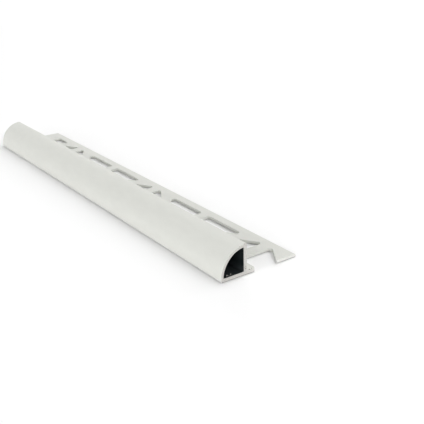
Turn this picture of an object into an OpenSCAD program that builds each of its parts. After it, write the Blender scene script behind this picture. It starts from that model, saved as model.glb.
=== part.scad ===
// Tile edge trim: a hollow quarter-round strip whose bottom wall runs on as a flat
// anchoring flange, perforated with pairs of rounded triangles between square cross bars.
// One extruded, punched and sawn piece of rigid plastic stock.
// Millimetres, +Z up. The length runs along Y and the rounded side faces -X.

/* [Section] */
// sawn length of the piece
length = 187.5; // [90:0.5:400]
// outer radius of the visible quarter round
round_radius = 10; // [6:0.5:15]
// straight toe between the resting face and the start of the round
toe_height = 0.85; // [0.4:0.05:1.2]
// rounding along the lower edge of the toe
toe_round = 0.5; // [0.1:0.05:0.6]
// rounding along the crest, between the round and the back wall
crest_round = 0.2; // [0.1:0.1:0.8]
// wall of the quarter round
round_wall = 0.8; // [0.6:0.1:1.5]
// wall that the tile's edge butts against
back_wall = 1.25; // [0.8:0.05:2]
// wall under the chamber, which runs on as the root of the flange
bottom_wall = 1.3; // [1.2:0.05:2]
// rounding in the chamber's square corner
chamber_corner = 0.4; // [0.2:0.1:0.8]

/* [Flange] */
// reach of the flange past the back wall
flange_reach = 20.2; // [18:0.1:30]
// width of the thicker root beside the back wall
root_width = 10; // [4:0.5:14]
// thickness of the flange past its root
flange_thickness = 1.15; // [0.8:0.05:1.2]
// rounding along the outer top edge of the flange
edge_round = 0.4; // [0.2:0.1:0.6]

/* [Holes] */
// solid strip between the back wall and the holes
inner_strip = 3.5; // [2:0.1:5]
// solid strip between the holes and the outer edge
outer_strip = 3.6; // [2:0.1:5]
// distance from one cross bar to the next
bar_pitch = 35.7; // [33:0.1:44]
// width of a cross bar
bar_width = 4.6; // [3:0.1:8]
// distance from the sawn near end to the first cross bar
first_bar = 8.7; // [4:0.1:14]
// solid stretch left at the far end, where the row of holes stops
far_solid = 10; // [6:0.5:20]
// width of the slanted strut between two holes
strut_width = 4; // [2.5:0.1:5]
// angle between a strut and the length
strut_angle = 31.6; // [29:0.2:35]
// rounding of the holes' corners
hole_corner = 1.1; // [0.6:0.1:1.4]
// rounding of the inner strip's corner beside the sawn near end
stub_round = 1.2; // [0.4:0.1:1.6]

/* [Hidden] */
$fn = 96;
past = 1;
height = toe_height + round_radius;
width = round_radius + flange_reach;
toe_fillet = min(toe_round, toe_height);
crest_reach = round_radius - crest_round;
crest_angle = asin(crest_round / crest_reach);
panel = bar_pitch - bar_width;
hole_inner = round_radius + inner_strip;
hole_outer = width - outer_strip;
run = 1 / tan(strut_angle);
// the inner hole's sharp corner lies past the holes' outer line by this much,
// so that its rounded tip just reaches that line
tip_past = hole_corner / tan((90 - strut_angle) / 2) - hole_corner;
strut_along = strut_width / sin(strut_angle) + run * tip_past;
// shortest outer hole whose three roundings still fit
least_room = strut_along + 6 * hole_corner;
holes_end = length - far_solid;
panels = ceil((holes_end - first_bar) / bar_pitch);

function unit(a) = a / norm(a);
function half_angle(p, q, s) = acos(unit(q - p) * unit(s - p)) / 2;
function round_centre(p, q, s, r) =
    p + unit(unit(q - p) + unit(s - p)) * r / sin(half_angle(p, q, s));
function touch(p, q, s, r) = p + unit(q - p) * r / tan(half_angle(p, q, s));
function panel_start(k) = first_bar + bar_width + k * bar_pitch;

// a triangle with its three corners rounded
module rounded_triangle(a, b, c, r) {
    polygon([touch(a, b, c, r), touch(b, a, c, r), touch(b, c, a, r),
             touch(c, b, a, r), touch(c, a, b, r), touch(a, c, b, r)]);
    translate(round_centre(a, b, c, r)) circle(r);
    translate(round_centre(b, c, a, r)) circle(r);
    translate(round_centre(c, a, b, r)) circle(r);
}

// what is taken off a square corner at the origin to round it, the corner pointing to +X and +Y
module corner_waste(r) {
    translate([-r, -r]) difference() {
        square(r + past);
        circle(r);
    }
}

// what is taken off the crest, where the round meets the back wall
module crest_waste() {
    reach = crest_round + past;
    translate([crest_reach, toe_height + crest_reach * cos(crest_angle)]) difference() {
        polygon([[0, 0], [reach, 0], [reach, reach], [-reach * tan(crest_angle), reach]]);
        circle(crest_round);
    }
}

// the hollow of the quarter round, open at both sawn ends
module chamber() {
    difference() {
        intersection() {
            translate([round_radius, toe_height]) circle(round_radius - round_wall);
            translate([0, bottom_wall]) square([round_radius - back_wall, height]);
        }
        translate([round_radius - back_wall, bottom_wall]) mirror([0, 1])
            corner_waste(chamber_corner);
    }
}

// the section, drawn with the toe at the origin and the flange to the right
module section() {
    difference() {
        union() {
            square([round_radius, toe_height]);
            intersection() {
                translate([round_radius, toe_height]) circle(round_radius);
                translate([0, toe_height]) square([round_radius, round_radius]);
            }
            square([round_radius + root_width, bottom_wall]);
            square([width, flange_thickness]);
        }
        chamber();
        crest_waste();
        rotate(180) corner_waste(toe_fillet);
        translate([width, flange_thickness]) corner_waste(edge_round);
    }
}

// the two holes of one panel, with the cross bar at zero and the outer hole ending at room
module panel_holes(room) {
    rounded_triangle([hole_outer + tip_past, 0], [hole_inner, 0],
                     [hole_inner, run * (hole_outer + tip_past - hole_inner)], hole_corner);
    if (room > least_room)
        rounded_triangle([hole_outer, room], [hole_outer - (room - strut_along) / run, room],
                         [hole_outer, strut_along], hole_corner);
}

// every second panel is the mirror image of the one before it
module hole_row() {
    intersection() {
        for (k = [-1 : panels - 1])
            translate([0, panel_start(k)])
                if (k % 2 == 0) panel_holes(min(panel, holes_end - panel_start(k)));
                else translate([0, panel]) mirror([0, 1]) panel_holes(panel);
        translate([0, -past]) square([width, holes_end + past]);
    }
    translate([hole_inner, 0]) mirror([0, 1]) corner_waste(stub_round);
}

module edge_trim() {
    color([0.86, 0.86, 0.84]) difference() {
        translate([-width / 2, length / 2, 0]) rotate([90, 0, 0])
            linear_extrude(length) section();
        translate([-width / 2, -length / 2, -past])
            linear_extrude(bottom_wall + 2 * past) hole_row();
    }
}

edge_trim();
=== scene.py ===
# %% [markdown]
# # A quarter-round tile edge trim
#
# The object is one strip of rigid light grey plastic. A hollow quarter round covers the
# edge of a tile, and the wall under it runs on as a thin flat flange. The flange lies in
# the adhesive below the tile, and its triangular holes let the adhesive grip it.
#
# On the real thing three machines leave their marks: an extruder makes the section, a
# punch makes the holes, and a saw cuts the strip to length. This lesson works in the same
# order, because a mesh that is made the way the object was made has its edges and its
# surface marks in the right places.

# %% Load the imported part
import math
import random

import bmesh
import bpy
from mathutils import Matrix, Vector


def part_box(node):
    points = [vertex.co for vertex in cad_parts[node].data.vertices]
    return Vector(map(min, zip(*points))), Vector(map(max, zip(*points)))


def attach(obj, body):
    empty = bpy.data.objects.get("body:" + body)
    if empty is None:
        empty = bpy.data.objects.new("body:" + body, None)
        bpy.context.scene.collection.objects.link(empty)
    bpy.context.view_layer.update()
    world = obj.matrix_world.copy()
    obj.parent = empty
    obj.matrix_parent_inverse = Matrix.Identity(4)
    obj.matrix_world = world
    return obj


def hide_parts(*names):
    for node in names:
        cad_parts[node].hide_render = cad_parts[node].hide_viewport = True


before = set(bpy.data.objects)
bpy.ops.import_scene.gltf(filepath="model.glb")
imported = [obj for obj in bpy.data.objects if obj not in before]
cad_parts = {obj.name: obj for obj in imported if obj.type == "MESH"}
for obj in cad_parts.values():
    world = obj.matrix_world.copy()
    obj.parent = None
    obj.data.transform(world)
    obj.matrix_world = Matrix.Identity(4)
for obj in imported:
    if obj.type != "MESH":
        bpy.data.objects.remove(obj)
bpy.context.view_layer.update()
trim_low, trim_high = (Vector(corner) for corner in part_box("edge_trim"))
print("the trim reaches from", trim_low[:], "to", trim_high[:])

# %% [markdown]
# ## Camera
#
# A camera can be aimed by hand until the picture looks right, or its place can be worked
# out from edges whose direction is known. Here the second way was used: the straight
# edges, the sawn end and the holes give one long lens, a little above the strip and in
# front of its rounded side. A turn of a degree or two about the line of sight stands for a
# camera that was not quite level.

# %% Place the camera
CAMERA_PLACE = (-0.12970, -0.25516, 0.10514)
CAMERA_DOWN, CAMERA_RIGHT, CAMERA_ROLL = 22.308, 34.709, 1.634
CAMERA_LENS, SENSOR_WIDTH, NEAREST_SEEN = 61.42, 36.0, 0.01

camera_data = bpy.data.cameras.new("camera")
camera_data.sensor_fit = "HORIZONTAL"
camera_data.sensor_width = SENSOR_WIDTH
camera_data.lens = CAMERA_LENS
camera_data.clip_start = NEAREST_SEEN
camera = bpy.data.objects.new("camera", camera_data)
bpy.context.collection.objects.link(camera)
aim = (Matrix.Rotation(math.radians(-CAMERA_RIGHT), 4, "Z")
       @ Matrix.Rotation(math.radians(90 - CAMERA_DOWN), 4, "X")
       @ Matrix.Rotation(math.radians(-CAMERA_ROLL), 4, "Z"))
camera.matrix_world = Matrix.Translation(CAMERA_PLACE) @ aim
bpy.context.scene.camera = camera
print("camera", round((Vector(CAMERA_PLACE) - trim_low).length, 3), "m from the toe")

# %% [markdown]
# ## Floor and backdrop
#
# The strip lies on a white sweep. A floor that is only lit white would need light that
# bleaches the plastic as well. So the floor gets most of its white from the lamps, which
# leaves the shadow in it, and the rest from a small glow that is seen but lights nothing.
# The world does the same: rays that light the object find a faint dome, and rays that the
# camera, a reflection or a see-through surface sends find clean white.
#
# A sawn strip never lies quite flat. Burrs and grit hold it a hair above the table, and the
# gap shows as a thin dark line along its foot, so the floor is lowered by that hair. The
# floor ends inside the ring of lamps, because behind them it would be unlit and show as a
# grey band in a low view.

# %% Make the floor and the world
MM = 0.001
WHITE = (1.0, 1.0, 1.0, 1.0)
FLOOR_COLOUR = (0.92, 0.92, 0.92, 1.0)
FLOOR_RADIUS, FLOOR_DROP, FLOOR_SIDES = 1.1, 0.14 * MM, 96
FLOOR_GLOW = 0.070
DOME_LEVEL, BACKDROP_LEVEL = 0.01, 1.0

scene = bpy.context.scene
scene.view_settings.view_transform = "Standard"


def seen_directly(nodes, links):
    """One socket that is 1 for rays from the camera, a reflection or a see-through surface."""
    path = nodes.new("ShaderNodeLightPath")
    first = nodes.new("ShaderNodeMath")
    first.operation = "MAXIMUM"
    links.new(path.outputs["Is Camera Ray"], first.inputs[0])
    links.new(path.outputs["Is Glossy Ray"], first.inputs[1])
    both = nodes.new("ShaderNodeMath")
    both.operation = "MAXIMUM"
    links.new(first.outputs[0], both.inputs[0])
    links.new(path.outputs["Is Transmission Ray"], both.inputs[1])
    return both.outputs[0]


world = bpy.data.worlds.new("white_dome")
scene.world = world
world.use_nodes = True
world_nodes, world_links = world.node_tree.nodes, world.node_tree.links
world_nodes.clear()
dome = world_nodes.new("ShaderNodeBackground")
dome.inputs["Strength"].default_value = DOME_LEVEL
clean_white = world_nodes.new("ShaderNodeBackground")
clean_white.inputs["Strength"].default_value = BACKDROP_LEVEL
for background in (dome, clean_white):
    background.inputs["Color"].default_value = WHITE
pick = world_nodes.new("ShaderNodeMixShader")
world_out = world_nodes.new("ShaderNodeOutputWorld")
world_links.new(seen_directly(world_nodes, world_links), pick.inputs["Fac"])
world_links.new(dome.outputs[0], pick.inputs[1])
world_links.new(clean_white.outputs[0], pick.inputs[2])
world_links.new(pick.outputs[0], world_out.inputs["Surface"])

floor_bm = bmesh.new()
bmesh.ops.create_circle(floor_bm, cap_ends=True, segments=FLOOR_SIDES, radius=FLOOR_RADIUS,
                        matrix=Matrix.Translation((0.0, 0.0, -FLOOR_DROP)))
floor_mesh = bpy.data.meshes.new("floor")
floor_bm.to_mesh(floor_mesh)
floor_bm.free()
floor = bpy.data.objects.new("floor", floor_mesh)
bpy.context.collection.objects.link(floor)

floor_paint = bpy.data.materials.new("white_floor")
floor_paint.use_nodes = True
floor_nodes, floor_links = floor_paint.node_tree.nodes, floor_paint.node_tree.links
floor_nodes.clear()
matt_white = floor_nodes.new("ShaderNodeBsdfDiffuse")
matt_white.inputs["Color"].default_value = FLOOR_COLOUR
glow = floor_nodes.new("ShaderNodeEmission")
glow_level = floor_nodes.new("ShaderNodeMath")
glow_level.operation = "MULTIPLY"
glow_level.inputs[1].default_value = FLOOR_GLOW
together = floor_nodes.new("ShaderNodeAddShader")
floor_out = floor_nodes.new("ShaderNodeOutputMaterial")
floor_links.new(seen_directly(floor_nodes, floor_links), glow_level.inputs[0])
floor_links.new(glow_level.outputs[0], glow.inputs["Strength"])
floor_links.new(matt_white.outputs[0], together.inputs[0])
floor_links.new(glow.outputs[0], together.inputs[1])
floor_links.new(together.outputs[0], floor_out.inputs["Surface"])
floor_mesh.materials.append(floor_paint)
print("floor of", FLOOR_RADIUS, "m,", round(FLOOR_DROP / MM, 2), "mm below the strip")

# %% [markdown]
# ## Lamps
#
# The shadow tells where the light comes from. A narrow dark line follows every foot of the
# strip, and past it the floor is white again within about one height, on all sides. One
# lamp can't do that. A light tent can: soft panels stand all round the table. The low ones
# in front lift the rounded face and the sawn end above the flange, and they are so low that
# they hardly reach the floor. The ones on the side of the flange leave the walls of the
# holes in shade. Panels are placed by bearing, height angle and distance, which is how one
# would move a stand in a studio, and a bearing of 0 is on the side of the flange.

# %% Hang the lamps
PANEL_SIZE, PANEL_AWAY = 1.0, 1.6
LAMPS = {
    "front_left_low": {"bearing": 212.0, "rise": 8.0, "power": 12.4},
    "front_right_low": {"bearing": 268.0, "rise": 8.0, "power": 8.9},
    "near_right": {"bearing": 300.0, "rise": 30.0, "power": 6.2},
    "round_side": {"bearing": 180.0, "rise": 30.0, "power": 12.9},
    "flange_side": {"bearing": 0.0, "rise": 30.0, "power": 6.9},
    "flange_side_high": {"bearing": 0.0, "rise": 57.0, "power": 9.7},
    "far_side_high": {"bearing": 60.0, "rise": 57.0, "power": 2.3},
    "far_side_low": {"bearing": 60.0, "rise": 8.0, "power": 14.8},
}


def hang_lamp(name, bearing, rise, power):
    """A round soft panel that faces the strip and that neither camera nor reflections see."""
    lamp_data = bpy.data.lights.new(name, "AREA")
    lamp_data.shape = "DISK"
    lamp_data.size = PANEL_SIZE
    lamp_data.energy = power
    lamp = bpy.data.objects.new(name, lamp_data)
    bpy.context.collection.objects.link(lamp)
    turn, climb = math.radians(bearing), math.radians(rise)
    towards = Vector((math.cos(turn) * math.cos(climb), math.sin(turn) * math.cos(climb),
                      math.sin(climb)))
    lamp.location = towards * PANEL_AWAY
    lamp.rotation_euler = (-towards).to_track_quat("-Z", "Y").to_euler()
    lamp.visible_camera = False
    lamp.visible_glossy = False
    return lamp


for lamp_name, lamp_facts in LAMPS.items():
    hang_lamp(lamp_name, **lamp_facts)
    print(lamp_name, lamp_facts["power"], "W")

# %% [markdown]
# ## The pen
#
# Every edge of this part is a straight line or an arc. One could type in the points of
# each outline, but then a change of one radius means new points everywhere. A pen is
# easier to follow: it is put down at a point, draws a line by extruding its last vertex,
# and draws an arc by spinning that vertex about a centre.

# %% Write the pen
QUARTER = math.radians(90)
ARC_STEP = math.radians(7.5)


class Pen:
    """Draws lines and arcs in one flat plane of a bmesh and remembers the edges."""

    def __init__(self, bm, start, axis):
        self.bm, self.axis, self.edges = bm, Vector(axis), []
        self.first = self.tip = bmesh.ops.create_vert(bm, co=start)["vert"][0]

    def line(self, point):
        before = set(self.bm.edges)
        self.tip = bmesh.ops.extrude_vert_indiv(self.bm, verts=[self.tip])["verts"][0]
        self.tip.co = point
        self.edges += [edge for edge in self.bm.edges if edge not in before]

    def arc(self, centre, angle, step=ARC_STEP):
        steps = max(2, round(abs(angle) / step))
        before = set(self.bm.edges)
        spun = bmesh.ops.spin(self.bm, geom=[self.tip], cent=centre, axis=self.axis,
                              angle=angle, steps=steps, use_merge=False)
        self.tip = next(v for v in spun["geom_last"] if isinstance(v, bmesh.types.BMVert))
        self.edges += [edge for edge in self.bm.edges if edge not in before]

    def close(self):
        self.edges.append(self.bm.edges.new((self.tip, self.first)))
        return self.edges


print("a quarter turn takes", round(QUARTER / ARC_STEP), "steps unless told otherwise")

# %% [markdown]
# ## The extruded section
#
# The die gives every place along the strip the same section. It could be drawn once and
# extruded, but that operator hands out its new points in an order that changes from run to
# run. So the section is drawn twice, past either end, and bridging the two drawings makes
# the same walls in the same order every time. It takes three strokes: the outside of the
# quarter round, the chamber in it, and the outer edge of the flange. The flat top and
# underside of the flange come later, because the holes go through them. Sharp corners don't
# leave an extruder, so each corner here gets the small radius that a steel die has. Under
# the crest the chamber's roof turns tighter than the outside does, which leaves the wall a
# little thicker there.

# %% Set the sizes of the section
ROUND_RADIUS, TOE_HEIGHT = 10.0 * MM, 0.85 * MM
ROUND_WALL, BACK_WALL, BOTTOM_WALL = 0.8 * MM, 1.25 * MM, 1.3 * MM
FLANGE_THICKNESS, ROOT_WIDTH = 1.15 * MM, 10.0 * MM
CHAMBER_CORNER, EDGE_ROUND = 0.4 * MM, 0.4 * MM
ROOF_RADIUS, ROOF_START = 7.0 * MM, math.radians(35)
TOE_ROUND, CREST_ROUND, ROOT_FILLET, FOOT_ROUND = 0.5 * MM, 0.2 * MM, 0.25 * MM, 0.12 * MM
FINE_STEP, CORNER_STEP = math.radians(2.0), math.radians(15)
EDGE_STEP, FILLET_STEP = math.radians(18), math.radians(30)
NEAR_SPARE, FAR_SPARE = 14.0 * MM, 2.0 * MM

toe_x, outer_x = trim_low.x, trim_high.x
back_x = toe_x + ROUND_RADIUS
near_y, far_y = trim_low.y, trim_high.y
start_y, stop_y = near_y - NEAR_SPARE, far_y + FAR_SPARE
ALONG = (0.0, 1.0, 0.0)

crest_reach = ROUND_RADIUS - CREST_ROUND
crest_angle = math.asin(CREST_ROUND / crest_reach)
crest_z = TOE_HEIGHT + crest_reach * math.cos(crest_angle)
inner_radius = ROUND_RADIUS - ROUND_WALL
chamber_x = back_x - BACK_WALL
toe_angle = math.asin((BOTTOM_WALL - TOE_HEIGHT) / inner_radius)
roof_offset = inner_radius - ROOF_RADIUS
roof_x = back_x - roof_offset * math.sin(ROOF_START)
roof_z = TOE_HEIGHT + roof_offset * math.cos(ROOF_START)
roof_end = math.asin((roof_x - chamber_x) / ROOF_RADIUS)
roof_top = roof_z + ROOF_RADIUS * math.cos(roof_end)
print("the crest is", round(crest_z / MM + CREST_ROUND / MM, 2), "mm high, the chamber's roof",
      round(roof_top / MM, 2), "mm")

# %% Draw the section at both ends and bridge it
trim = bmesh.new()


def draw_section(y):
    """The three strokes of the section, at one place along the length."""
    def at(x, z):
        return Vector((x, y, z))

    outside = Pen(trim, at(back_x + ROOT_FILLET, BOTTOM_WALL), ALONG)
    outside.arc(at(back_x + ROOT_FILLET, BOTTOM_WALL + ROOT_FILLET), QUARTER, FILLET_STEP)
    outside.line(at(back_x, crest_z))
    outside.arc(at(back_x - CREST_ROUND, crest_z), -QUARTER - crest_angle, CORNER_STEP)
    outside.arc(at(back_x, TOE_HEIGHT), crest_angle - QUARTER, FINE_STEP)
    outside.line(at(toe_x, TOE_ROUND))
    outside.arc(at(toe_x + TOE_ROUND, TOE_ROUND), -QUARTER, CORNER_STEP)

    chamber = Pen(trim, at(chamber_x - CHAMBER_CORNER, BOTTOM_WALL), ALONG)
    chamber.arc(at(chamber_x - CHAMBER_CORNER, BOTTOM_WALL + CHAMBER_CORNER),
                -QUARTER, CORNER_STEP)
    chamber.line(at(chamber_x, roof_top))
    chamber.arc(at(roof_x, roof_z), roof_end - ROOF_START, FINE_STEP)
    chamber.arc(at(back_x, TOE_HEIGHT), ROOF_START + toe_angle - QUARTER, FINE_STEP)
    chamber.close()

    rim = Pen(trim, at(outer_x - EDGE_ROUND, BOTTOM_WALL), ALONG)
    rim.arc(at(outer_x - EDGE_ROUND, BOTTOM_WALL - EDGE_ROUND), QUARTER, EDGE_STEP)
    rim.line(at(outer_x, FOOT_ROUND))
    rim.arc(at(outer_x - FOOT_ROUND, FOOT_ROUND), QUARTER, FILLET_STEP)
    return [stroke.edges for stroke in (outside, chamber, rim)]


for near_stroke, far_stroke in zip(draw_section(start_y), draw_section(stop_y)):
    bmesh.ops.bridge_loops(trim, edges=near_stroke + far_stroke)
print("section bridged over", round((stop_y - start_y) / MM, 1), "mm:", len(trim.faces), "faces")

# %% [markdown]
# ## The punched holes
#
# Square cross bars divide the flange into panels. A slanted strut crosses each panel and
# leaves one triangle on either side, and every second panel is a mirror image of its
# neighbour. So two triangles are enough for all panels: they are shifted by one pitch at a
# time, and turned round in every second panel. The row stops before the far end, which cuts
# the last outer triangle short, and the near saw cut goes through one more hole, which is
# drawn longer than it will be, with a round corner where the cut will leave the inner stub.

# %% Work out the corners of the holes
INNER_STRIP, OUTER_STRIP = 3.5 * MM, 3.6 * MM
BAR_PITCH, BAR_WIDTH, FIRST_BAR = 35.7 * MM, 4.6 * MM, 8.7 * MM
STRUT_WIDTH, STRUT_ANGLE, HOLE_CORNER = 4.0 * MM, math.radians(31.6), 1.1 * MM
STUB_ROUND, STUB_REACH, FAR_SOLID = 1.2 * MM, 1.4 * MM, 10.0 * MM
SAW_SLACK, SPARE_BORDER, SPARE_CORNER = 0.05 * MM, 3.0 * MM, 0.55 * MM
PANELS = range(5)

panel = BAR_PITCH - BAR_WIDTH
hole_inner, hole_outer = back_x + INNER_STRIP, outer_x - OUTER_STRIP
run = 1.0 / math.tan(STRUT_ANGLE)
tip_past = HOLE_CORNER / math.tan((QUARTER - STRUT_ANGLE) / 2) - HOLE_CORNER
tip_x = hole_outer + tip_past
strut_along = STRUT_WIDTH / math.sin(STRUT_ANGLE) + run * tip_past
inner_hole = [(tip_x, 0.0), (hole_inner, 0.0), (hole_inner, run * (tip_x - hole_inner))]
hole_corners = []
for number in PANELS:
    bar_edge = near_y + FIRST_BAR + BAR_WIDTH + number * BAR_PITCH
    room = min(panel, far_y - FAR_SOLID - bar_edge)
    outer_hole = [(hole_outer, room), (hole_outer - (room - strut_along) / run, room),
                  (hole_outer, strut_along)]
    for triangle in (inner_hole, outer_hole):
        hole_corners.append([
            (Vector((x, bar_edge + (y if number % 2 == 0 else panel - y), 0.0)), HOLE_CORNER)
            for x, y in triangle])

bar_y = near_y + FIRST_BAR
past_saw = near_y - SAW_SLACK
spare_y = start_y + SPARE_BORDER
spare_x = hole_inner - STUB_ROUND - STUB_REACH
hole_corners.append([
    (Vector((tip_x, bar_y, 0.0)), HOLE_CORNER),
    (Vector((hole_inner, bar_y, 0.0)), HOLE_CORNER),
    (Vector((hole_inner, past_saw, 0.0)), STUB_ROUND),
    (Vector((spare_x, past_saw, 0.0)), SPARE_CORNER),
    (Vector((spare_x, spare_y, 0.0)), SPARE_CORNER),
    (Vector((tip_x - (bar_y - spare_y) / run, spare_y, 0.0)), SPARE_CORNER)])
print(len(hole_corners), "holes, the inner ones", round(inner_hole[2][1] / MM, 1), "mm long")

# %% [markdown]
# ## The walls of the holes
#
# A punch rounds the rim of a hole a little. A bevel could do that afterwards, but here the
# rims are known before the faces are, so each hole is drawn as a stack of the same outline:
# widest at the two faces and narrowest inside. Neighbouring outlines have the same number
# of points, so bridging them makes clean strips.

# %% Draw the outlines of the holes and bridge them
RIM_ROUND, UNDER_ROUND, RIM_STEPS = 0.12 * MM, 0.12 * MM, 3
HOLE_STEP = math.radians(12)
UP = Vector((0.0, 0.0, 1.0))


def draw_hole(bm, corners, grow, height):
    """One outline with rounded corners at a height, wider than the hole by grow."""
    area = sum(corner.cross(corners[place - 1][0]).z
               for place, (corner, _) in enumerate(corners))
    ring = corners if area < 0 else corners[::-1]
    pen = None
    for place, (corner, radius) in enumerate(ring):
        back = (ring[place - 1][0] - corner).normalized()
        ahead = (ring[(place + 1) % len(ring)][0] - corner).normalized()
        side = 1 if ahead.cross(back).z > 0 else -1
        half = back.angle(ahead) / 2
        centre = corner + (back + ahead).normalized() * (radius / math.sin(half))
        touch = corner + back * (radius / math.tan(half))
        start = centre + (touch - centre).normalized() * (radius + side * grow)
        centre.z = start.z = height
        if pen is None:
            pen = Pen(bm, start, UP)
        else:
            pen.line(start)
        pen.arc(centre, side * (math.pi - 2 * half), HOLE_STEP)
    return pen.close()


def rim_levels(radius):
    """How far a rounded rim stands out and how deep it lies, from the face inwards."""
    turns = [QUARTER * step / RIM_STEPS for step in range(RIM_STEPS + 1)]
    return [(radius * (1 - math.sin(turn)), radius * (1 - math.cos(turn))) for turn in turns]


for corners in hole_corners:
    levels = [(grow, BOTTOM_WALL - sunk) for grow, sunk in rim_levels(RIM_ROUND)]
    levels += [(grow, sunk) for grow, sunk in reversed(rim_levels(UNDER_ROUND))]
    loops = [draw_hole(trim, corners, grow, height) for grow, height in levels]
    for upper, lower in zip(loops, loops[1:]):
        bmesh.ops.bridge_loops(trim, edges=upper + lower)
print(len(trim.faces), "faces with the walls of the holes")

# %% [markdown]
# ## The flat faces of the flange
#
# The top of the flange and the whole underside are flat sheets with holes in them. Their
# borders are already there as edges of the strokes and rims. One fill over the whole length
# would draw long thin triangles from end to end, so the strokes are first cut in the middle
# of every cross bar. An edge across the sheet at each cut then closes one panel at a time,
# and triangle_fill covers the panel and leaves its holes open.

# %% Fill the top and the underside
WELD, CLOSE = 1e-7, 1e-6

bmesh.ops.remove_doubles(trim, verts=trim.verts[:], dist=WELD)
bar_middles = [near_y + FIRST_BAR + BAR_WIDTH / 2 + number * BAR_PITCH for number in PANELS]


def slice_trim(place, direction, clear_outer=False):
    """Cut the whole trim along a plane and return the edges that lie in the cut."""
    everything = trim.verts[:] + trim.edges[:] + trim.faces[:]
    cut = bmesh.ops.bisect_plane(trim, geom=everything, dist=WELD, plane_co=place,
                                 plane_no=direction, clear_outer=clear_outer)
    return [part for part in cut["geom_cut"] if isinstance(part, bmesh.types.BMEdge)]


def between(value, low, high):
    return low - CLOSE < value < high + CLOSE


def close_sheet(sides, height):
    """Fill one flat sheet at a height, panel by panel, and count the new faces."""
    border = [edge for edge in trim.edges if edge.is_boundary
              and all(between(v.co.z, height, height) and between(v.co.x, *sides)
                      for v in edge.verts)]
    rails = {v for edge in border for v in edge.verts
             if any(between(v.co.x, side, side) for side in sides)}
    across = []
    for place in stations:
        pair = [v for v in rails if between(v.co.y, place, place)]
        across.append(trim.edges.new(sorted(pair, key=lambda v: v.co.x)))
    count = len(trim.faces)
    for number, ends in enumerate(zip(stations, stations[1:])):
        ring = [edge for edge in border if all(between(v.co.y, *ends) for v in edge.verts)]
        bmesh.ops.triangle_fill(trim, edges=ring + across[number:number + 2], use_beauty=True,
                                use_dissolve=False, normal=UP)
    return len(trim.faces) - count


for middle_y in bar_middles:
    slice_trim((0.0, middle_y, 0.0), ALONG)
stations = [start_y] + bar_middles + [stop_y]
top_sides = (back_x + ROOT_FILLET, outer_x - EDGE_ROUND)
under_sides = (toe_x + TOE_ROUND, outer_x - FOOT_ROUND)
print("top sheet", close_sheet(top_sides, BOTTOM_WALL), "faces")
print("underside", close_sheet(under_sides, 0.0), "faces")

# %% [markdown]
# ## The thicker root
#
# Beside the back wall the flange is a little thicker, and a fine line on the cross bars
# shows where that ends. Two cuts across the mesh give the line its two edges, and what
# lies past them is lowered.

# %% Cut and lower the flange past its root
STEP_SLOPE = 0.12 * MM
ACROSS = (1.0, 0.0, 0.0)

step_x = back_x + ROOT_WIDTH
for cut_x in (step_x, step_x + STEP_SLOPE):
    slice_trim((cut_x, 0.0, 0.0), ACROSS)
lowered = [v for v in trim.verts
           if v.co.x > step_x + STEP_SLOPE / 2 and v.co.z > BOTTOM_WALL / 2]
bmesh.ops.translate(trim, verts=lowered, vec=(0.0, 0.0, FLANGE_THICKNESS - BOTTOM_WALL))
print(len(lowered), "points lowered past the root")

# %% [markdown]
# ## The saw cuts
#
# The strip has been made too long on purpose. bisect_plane is the saw: it cuts at the two
# real ends and throws the rest away, holes and all. The cuts leave open rings, which are
# filled as the sawn faces. The saw's faces are marked now, because they get a finish of
# their own, and so does the inside of the chamber.

# %% Saw the two ends
# INSIDE marks the walls of the chamber, which get painted shade
SMOOTH, SAWN, INSIDE = 0, 1, 2
SAW_CHAMFER, FILED_EDGE = 0.05 * MM, 0.04 * MM
SQUARE_TO_LENGTH, MOSTLY_ALONG, SHARP_FROM = 0.99, 0.5, math.radians(40)


def cut_off(place, outwards):
    """Cut the trim with a plane, throw away what lies past it and close the cut."""
    ring = slice_trim(place, outwards, clear_outer=True)
    filled = bmesh.ops.triangle_fill(trim, edges=ring, use_beauty=True, use_dissolve=False,
                                     normal=outwards)
    return [part for part in filled["geom"] if isinstance(part, bmesh.types.BMFace)]


def in_chamber(point):
    """True for a point on the walls of the chamber, and not on the outside of the strip."""
    from_centre = Vector((point.x - back_x, point.z - TOE_HEIGHT)).length
    return (toe_x + ROUND_WALL / 2 < point.x < back_x - BACK_WALL / 2
            and BOTTOM_WALL - CLOSE < point.z
            and from_centre < ROUND_RADIUS - ROUND_WALL / 2)


for end_y, outwards in ((near_y, -1.0), (far_y, 1.0)):
    sawn_y = end_y - outwards * SAW_CHAMFER
    end_faces = cut_off((0.0, sawn_y, 0.0), (0.0, outwards, 0.0))
    filed_faces = cut_off((0.0, sawn_y - outwards * FILED_EDGE, 0.0), (0.0, outwards, -1.0))
    print("saw cut at", round(end_y / MM, 2), "mm:", len(end_faces), "faces,",
          len(filed_faces), "along the filed edge")
bmesh.ops.recalc_face_normals(trim, faces=trim.faces[:])
sawn_faces = [face for face in trim.faces if abs(face.normal.y) > SQUARE_TO_LENGTH]
bmesh.ops.inset_region(trim, faces=sawn_faces, thickness=SAW_CHAMFER, depth=SAW_CHAMFER,
                       use_boundary=True, use_even_offset=False)

for face in trim.faces:
    face.smooth = True
    middle = face.calc_center_median()
    from_end = min(middle.y - near_y, far_y - middle.y)
    if from_end < FILED_EDGE and abs(face.normal.y) > MOSTLY_ALONG:
        face.material_index = SAWN
    elif in_chamber(middle):
        face.material_index = INSIDE
    else:
        face.material_index = SMOOTH
for edge in trim.edges:
    edge.smooth = len(edge.link_faces) == 2 and edge.calc_face_angle() < SHARP_FROM
open_edges = [edge for edge in trim.edges if not edge.is_manifold]
print("open edges:", len(open_edges), "volume", round(trim.calc_volume() / MM ** 3, 1), "mm3")

# %% [markdown]
# ## From bmesh to piece
#
# Smooth shading bends light on a big flat face whose edge is rounded, unless the flat face
# has the say. The Weighted Normal modifier gives it that: the larger a face is, the more
# its own direction counts at a shared corner.

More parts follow.
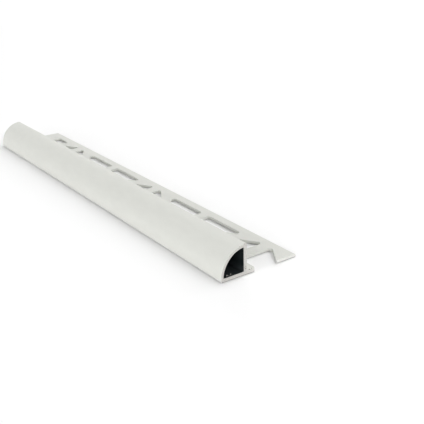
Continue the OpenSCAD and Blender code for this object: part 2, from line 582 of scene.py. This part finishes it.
# %% Make the piece
FLAT_FACE_SAY = 100

trim_mesh = bpy.data.meshes.new("edge_trim_strip")
trim.to_mesh(trim_mesh)
trim.free()
strip = bpy.data.objects.new("edge_trim_strip", trim_mesh)
bpy.context.collection.objects.link(strip)
even = strip.modifiers.new("even_light", "WEIGHTED_NORMAL")
even.mode = "FACE_AREA"
even.weight = FLAT_FACE_SAY
even.keep_sharp = True
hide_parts("edge_trim")
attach(strip, "root")
print("strip:", len(trim_mesh.vertices), "points,", len(trim_mesh.polygons), "faces")

# %% [markdown]
# ## Helpers for the finishes
#
# The finishes share a few small tools: a noise on Object coordinates, a colour ramp that
# turns the noise into shades, a rise that goes from 0 to 1 between two places along an axis,
# a blend of two colours by such a rise, and a bump. Object coordinates are in metres here,
# so every scale below is a real size on the strip, and a finish stays where it is when the
# camera moves.

# %% Write the helpers
EVEN = (1.0, 1.0, 1.0)
BEFORE_COLOUR, AFTER_COLOUR, BLENDED_COLOUR = 6, 7, 2


def finish(name):
    """A new material, its nodes and links, and its shader."""
    material = bpy.data.materials.new(name)
    material.use_nodes = True
    nodes, links = material.node_tree.nodes, material.node_tree.links
    return material, nodes, links, nodes["Principled BSDF"]


def pattern(nodes, links, stretch, scale, detail=3.0, rough=0.5):
    """A noise on object coordinates in metres, stretched by three factors."""
    place = nodes.new("ShaderNodeTexCoord")
    mapping = nodes.new("ShaderNodeMapping")
    mapping.inputs["Scale"].default_value = stretch
    noise = nodes.new("ShaderNodeTexNoise")
    noise.inputs["Scale"].default_value = scale
    noise.inputs["Detail"].default_value = detail
    noise.inputs["Roughness"].default_value = rough
    links.new(place.outputs["Object"], mapping.inputs["Vector"])
    links.new(mapping.outputs["Vector"], noise.inputs["Vector"])
    return noise.outputs["Fac"]


def shades(nodes, links, value, dark, light, low=0.3, high=0.7):
    """One colour socket that goes from the dark shade to the light one with a value."""
    ramp = nodes.new("ShaderNodeValToRGB")
    first, last = ramp.color_ramp.elements
    first.position, last.position = low, high
    first.color, last.color = dark, light
    links.new(value, ramp.inputs["Fac"])
    return ramp.outputs["Color"]


def rise(nodes, links, axis, low, high):
    """0 before the low place on an axis, 1 past the high one, and smooth between them."""
    place = nodes.new("ShaderNodeTexCoord")
    split = nodes.new("ShaderNodeSeparateXYZ")
    climb = nodes.new("ShaderNodeMapRange")
    climb.interpolation_type = "SMOOTHSTEP"
    climb.inputs["From Min"].default_value = low
    climb.inputs["From Max"].default_value = high
    links.new(place.outputs["Object"], split.inputs["Vector"])
    links.new(split.outputs[axis], climb.inputs["Value"])
    return climb.outputs["Result"]


def blended(nodes, links, amount, before, after):
    """One colour socket that goes from before to after as the amount goes from 0 to 1."""
    mix = nodes.new("ShaderNodeMix")
    mix.data_type = "RGBA"
    links.new(amount, mix.inputs["Factor"])
    links.new(before, mix.inputs[BEFORE_COLOUR])
    links.new(after, mix.inputs[AFTER_COLOUR])
    return mix.outputs[BLENDED_COLOUR]


def relief(nodes, links, shader, value, depth, strength):
    """Small bumps of a shader's surface, as deep as the depth in metres."""
    bump = nodes.new("ShaderNodeBump")
    bump.inputs["Distance"].default_value = depth
    bump.inputs["Strength"].default_value = strength
    links.new(value, bump.inputs["Height"])
    links.new(bump.outputs["Normal"], shader.inputs["Normal"])


print("helpers ready: finish, pattern, shades, rise, blended and relief")

# %% [markdown]
# ## The extruded skin
#
# The plastic is coloured right through: a light grey with a touch of warm green. An
# extruded skin is smooth with a low sheen, and the die leaves hair-thin lines along the
# length, so one noise is drawn out far along Y, and another only a little for soft mottle.
# The colour is darkened over the last few tenths of a millimetre above the ground: that is
# painted contact shadow along the foot, darkest under the toe, and the sawn ends get it too.

# %% Write the extruded skin
# painted contact shadow: how high it reaches above the ground and how dark it gets
FOOT_SHADE_RISE = (0.02 * MM, 0.32 * MM)
TOE_END = (toe_x + 0.5 * MM, toe_x + 1.0 * MM)
SKIN_SHADES = ((0.650, 0.656, 0.617, 1.0), (0.674, 0.680, 0.640, 1.0))
SKIN_FOOT_SHADE = ((0.430, 0.434, 0.410, 1.0), (0.520, 0.524, 0.496, 1.0))
TOE_FOOT_SHADE = ((0.030, 0.030, 0.028, 1.0), (0.060, 0.060, 0.057, 1.0))
SHADE_GRAIN = {"stretch": (1.0, 0.5, 1.0), "scale": 900.0}
MOTTLE = {"stretch": (1.0, 0.35, 1.0), "scale": 420.0, "detail": 4.0}
DIE_LINES = {"stretch": (1.0, 0.004, 1.0), "scale": 1600.0, "detail": 2.0}
DIE_LINE_DEPTH, DIE_LINE_STRENGTH = 0.02 * MM, 0.15


def paint_foot_shade(nodes, links, unshaded, thin_shades):
    """The unshaded colour with painted contact shadow along the foot, darkest under the toe."""
    shade_grain = pattern(nodes, links, **SHADE_GRAIN)
    toe_shade = shades(nodes, links, shade_grain, *TOE_FOOT_SHADE)
    thin_foot_shade = shades(nodes, links, shade_grain, *thin_shades)
    shade_mottle = blended(nodes, links, rise(nodes, links, "X", *TOE_END), toe_shade, thin_foot_shade)
    return blended(nodes, links, rise(nodes, links, "Z", *FOOT_SHADE_RISE), shade_mottle, unshaded)


plastic, nodes, links, skin = finish("extruded_plastic")
mottle = pattern(nodes, links, **MOTTLE)
unshaded = shades(nodes, links, mottle, *SKIN_SHADES)
# the skin's colour, with painted contact shadow along its foot
links.new(paint_foot_shade(nodes, links, unshaded, SKIN_FOOT_SHADE), skin.inputs["Base Color"])
skin.inputs["Roughness"].default_value = 0.45
skin.inputs["Specular IOR Level"].default_value = 0.4
die_lines = pattern(nodes, links, **DIE_LINES)
relief(nodes, links, skin, die_lines, DIE_LINE_DEPTH, DIE_LINE_STRENGTH)
print("skin darkens below", round(FOOT_SHADE_RISE[1] / MM, 2), "mm")

# %% [markdown]
# ## The sawn ends
#
# The saw leaves the same plastic dry and torn, which looks a little darker and pinker than
# the skin. The wall under the chamber has been dragged over a bench and is soiled to a
# mottled tan, and the end grows lighter across towards the thin end of the flange, away from
# the round. Two rises do that, one up the end and one across it.

# %% Write the sawn finish
TAN_TOP = (BOTTOM_WALL - 0.25 * MM, BOTTOM_WALL + 0.1 * MM)
LIGHTER_ACROSS = (back_x - 1.0 * MM, back_x + 5.0 * MM)
SOILED_SHADES = ((0.455, 0.443, 0.416, 1.0), (0.595, 0.584, 0.556, 1.0))
WALL_SHADES = ((0.472, 0.463, 0.438, 1.0), (0.570, 0.562, 0.537, 1.0))
FLANGE_END_SHADES = ((0.665, 0.665, 0.632, 1.0), (0.735, 0.735, 0.706, 1.0))
# painted contact shadow along the foot of the sawn end
SAWN_FOOT_SHADE = ((0.150, 0.150, 0.143, 1.0), (0.230, 0.230, 0.220, 1.0))
TORN = {"stretch": EVEN, "scale": 2600.0, "detail": 5.0, "rough": 0.65}
TORN_DEPTH, TORN_STRENGTH = 0.08 * MM, 0.5

sawn, nodes, links, dry = finish("sawn_plastic")
torn = pattern(nodes, links, **TORN)
soiled = shades(nodes, links, torn, *SOILED_SHADES)
walls = shades(nodes, links, torn, *WALL_SHADES)
flange_end = shades(nodes, links, torn, *FLANGE_END_SHADES)
tube_end = blended(nodes, links, rise(nodes, links, "Z", *TAN_TOP), soiled, walls)
whole_end = blended(nodes, links, rise(nodes, links, "X", *LIGHTER_ACROSS), tube_end, flange_end)
# the sawn end's colour, with the same painted contact shadow along its foot as the skin
links.new(paint_foot_shade(nodes, links, whole_end, SAWN_FOOT_SHADE), dry.inputs["Base Color"])
dry.inputs["Roughness"].default_value = 0.75
dry.inputs["Specular IOR Level"].default_value = 0.25
relief(nodes, links, dry, torn, TORN_DEPTH, TORN_STRENGTH)
print("sawn face is tan below", round(TAN_TOP[1] / MM, 2), "mm")

# %% [markdown]
# ## The inside of the chamber
#
# Only the open end lets light into the chamber, and the eye sees it as a bluish black that
# lifts a little towards the floor of the chamber. Left to the lamps alone, the chamber's light
# walls would glow, so the shade is painted on them, with painted light near the floor.

# %% Write the chamber's finish
# painted shade of the chamber: painted light on its floor up to this height, deep painted shade
# above
LIT_FLOOR_SPAN = (BOTTOM_WALL, BOTTOM_WALL + 2.6 * MM)
LIT_FLOOR_SHADES = ((0.0280, 0.0340, 0.0360, 1.0), (0.0420, 0.0500, 0.0520, 1.0))
DEEP_SHADES = ((0.0110, 0.0148, 0.0160, 1.0), (0.0165, 0.0215, 0.0228, 1.0))
CHAMBER_MOTTLE = {"stretch": (1.0, 0.3, 1.0), "scale": 700.0}

shade, nodes, links, dark = finish("chamber_shade")
shade_mottle = pattern(nodes, links, **CHAMBER_MOTTLE)
lit_floor = shades(nodes, links, shade_mottle, *LIT_FLOOR_SHADES)
deep = shades(nodes, links, shade_mottle, *DEEP_SHADES)
# painted light near the chamber's floor, deep painted shade higher up
links.new(blended(nodes, links, rise(nodes, links, "Z", *LIT_FLOOR_SPAN), lit_floor, deep),
          dark.inputs["Base Color"])
dark.inputs["Roughness"].default_value = 0.8
dark.inputs["Specular IOR Level"].default_value = 0.1

for material in (plastic, sawn, shade):
    trim_mesh.materials.append(material)
    print(material.name, len(material.node_tree.nodes), "nodes")

# %% [markdown]
# ## Crumbs from the saw
#
# A saw leaves crumbs. Most fall off, but a few stick to the sawn end and to the flange
# beside it, and some paler ones lie in the mouth of the chamber. They could be painted on,
# but then they would have no thickness. So each is a small ball with its points pushed
# about at random, sunk a little into the face that it sticks to. The random draws have a
# fixed seed, so every run makes the same crumbs.

# %% Scatter the crumbs
CRUMB_JITTER, CRUMB_SEED = 0.3, 7
GRIMY, PALE = 0, 1
# places in millimetres: across from the toe, along from the near end, up, then the radius
GRIMY_CRUMBS = [(9.38, 0.0, 2.24, 0.19), (9.42, 0.0, 2.94, 0.11), (0.98, 0.0, 1.53, 0.15),
                (9.13, 0.1, 10.76, 0.13), (7.18, 0.1, 10.38, 0.12),
                (11.12, 0.25, 1.33, 0.17), (12.10, 0.37, 1.33, 0.14)]
PALE_CRUMBS = [(2.83, 0.98, 1.42, 0.26), (4.35, 1.16, 1.40, 0.20), (3.30, 0.60, 1.36, 0.10)]
CRUMB_GRAIN = {"stretch": EVEN, "scale": 6000.0}
CRUMB_SHADES = {
    "grimy_crumb": ((0.16, 0.145, 0.12, 1.0), (0.26, 0.24, 0.20, 1.0)),
    "pale_crumb": ((0.36, 0.36, 0.33, 1.0), (0.50, 0.49, 0.45, 1.0)),
}

crumb_draw = random.Random(CRUMB_SEED)
crumbs = bmesh.new()


def drop_crumb(across, along, up, radius, finish_number):
    """One small ball with its points pushed about, at a place in millimetres."""
    place = Vector((toe_x + across * MM, near_y + along * MM, up * MM))
    ball = bmesh.ops.create_icosphere(crumbs, subdivisions=2, radius=radius * MM,
                                      matrix=Matrix.Translation(place))["verts"]
    for point in ball:
        push = 1.0 + crumb_draw.uniform(-CRUMB_JITTER, CRUMB_JITTER)
        point.co = place + (point.co - place) * push
    for face in {face for point in ball for face in point.link_faces}:
        face.material_index = finish_number


for crumb in GRIMY_CRUMBS:
    drop_crumb(*crumb, GRIMY)
for crumb in PALE_CRUMBS:
    drop_crumb(*crumb, PALE)
crumb_mesh = bpy.data.meshes.new("saw_crumbs")
crumbs.to_mesh(crumb_mesh)
crumbs.free()
loose = bpy.data.objects.new("saw_crumbs", crumb_mesh)
bpy.context.collection.objects.link(loose)
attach(loose, "root")

for name, crumb_shades in CRUMB_SHADES.items():
    material, nodes, links, grain = finish(name)
    grains = pattern(nodes, links, **CRUMB_GRAIN)
    links.new(shades(nodes, links, grains, *crumb_shades), grain.inputs["Base Color"])
    grain.inputs["Roughness"].default_value = 0.85
    crumb_mesh.materials.append(material)
print("crumbs:", len(GRIMY_CRUMBS) + len(PALE_CRUMBS), "with", len(crumb_mesh.polygons), "faces")
